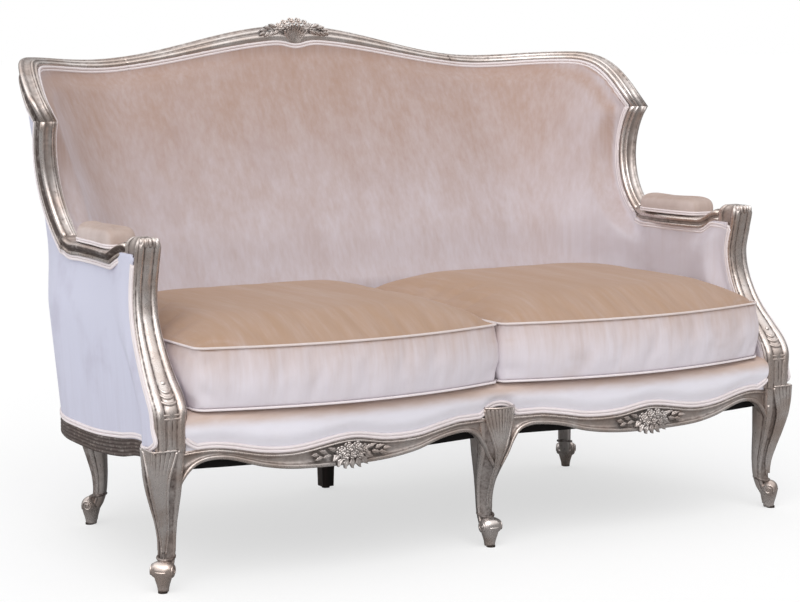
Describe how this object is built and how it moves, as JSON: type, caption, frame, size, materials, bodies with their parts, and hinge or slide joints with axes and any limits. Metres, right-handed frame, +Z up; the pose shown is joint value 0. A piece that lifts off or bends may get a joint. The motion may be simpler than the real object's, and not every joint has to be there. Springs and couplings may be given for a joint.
{
  "type": "baroque sofa",
  "caption": "Two-seat baroque sofa: carved silver-leafed frame on cabriole legs, winged back and arms in champagne velvet, loose boxed seat cushions.",
  "frame": {"origin": "on the floor under the middle of the sofa", "axes": "+X to the right as seen from the front, +Y towards the back, +Z up"},
  "size_m": [1.5374, 0.9467, 1.0513],
  "materials": {
    "silver_leaf": "champagne silver leaf with dark glaze in the hollows",
    "beech": "raw planed beech",
    "velvet": "champagne velvet with a brushed nap",
    "piping": "velvet-covered cord",
    "webbing": "woven jute",
    "deck_cloth": "plain lining cloth over foam",
    "dust_cloth": "black lining",
    "glide": "dark nylon"
  },
  "bodies": {
    "frame": {"arm_pad_left": "velvet", "arm_pad_right": "velvet", "arm_post_left": "silver_leaf", "arm_post_right": "silver_leaf", "arm_rail_left": "silver_leaf", "arm_rail_right": "silver_leaf", "back_tack_rail": "beech", "corner_blocks": "beech", "crest_carving": "silver_leaf", "crest_rail": "silver_leaf", "dowels": "beech", "dust_cover": "dust_cloth", "foot_glides": "glide", "front_border": "velvet", "front_leg_centre": "silver_leaf", "front_leg_left": "silver_leaf", "front_leg_right": "silver_leaf", "front_rail_left": "silver_leaf", "front_rail_right": "silver_leaf", "inside_arm_left": "velvet", "inside_arm_right": "velvet", "inside_back": "velvet", "inside_wing_left": "velvet", "inside_wing_right": "velvet", "outside_arm_left": "velvet", "outside_arm_right": "velvet", "outside_back": "velvet", "outside_wing_left": "velvet", "outside_wing_right": "velvet", "rail_flower_left": "silver_leaf", "rail_flower_right": "silver_leaf", "rear_leg_centre": "silver_leaf", "rear_leg_left": "silver_leaf", "rear_leg_right": "silver_leaf", "rear_post_centre": "beech", "rear_post_left": "beech", "rear_post_right": "beech", "rear_rail": "silver_leaf", "seat_deck": "deck_cloth", "seat_stretcher": "beech", "side_rail_left": "silver_leaf", "side_rail_right": "silver_leaf", "webbing_crosswise": "webbing", "webbing_lengthways": "webbing", "wing_rail_left": "silver_leaf", "wing_rail_right": "silver_leaf", "wing_stile_left": "silver_leaf", "wing_stile_right": "silver_leaf"},
    "cushion_left": {"seat_cushion_left": "velvet", "cushion_piping_left": "piping"},
    "cushion_right": {"seat_cushion_right": "velvet", "cushion_piping_right": "piping"}
  },
  "joints": [
    {"name": "cushion_left_lift", "type": "slide", "parent": "frame", "child": "cushion_left", "axis": [0, 0, 1], "range_m": [0, 0.45]},
    {"name": "cushion_right_lift", "type": "slide", "parent": "frame", "child": "cushion_right", "axis": [0, 0, 1], "range_m": [0, 0.45]}
  ]
}
